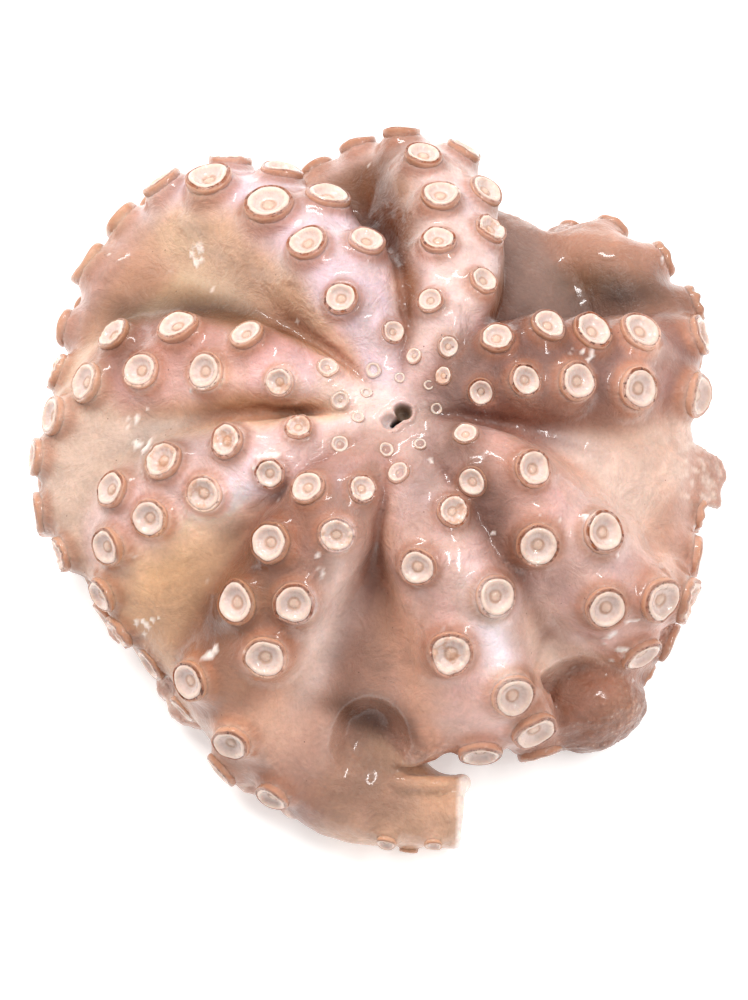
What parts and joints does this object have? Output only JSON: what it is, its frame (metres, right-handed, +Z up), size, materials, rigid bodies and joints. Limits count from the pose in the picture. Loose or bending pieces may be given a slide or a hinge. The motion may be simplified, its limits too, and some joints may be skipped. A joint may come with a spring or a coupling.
{
  "type": "whole octopus",
  "caption": "Whole cooked octopus set mouth up: arms with rows of suckers run out over a domed web, bend over its rim and curl round below it.",
  "frame": {"origin": "middle of the bounding box, on the surface that the octopus rests on", "axes": "+Z up, out of the mouth; +X to the right and -Y towards the viewer, who looks along +Y and down"},
  "size_m": [0.2322, 0.2542, 0.0894],
  "materials": {
    "skin": "moist cooked octopus skin, pinkish tan, with cream sucker cups"
  },
  "bodies": {
    "root": {"octopus": "skin"}
  },
  "joints": []
}
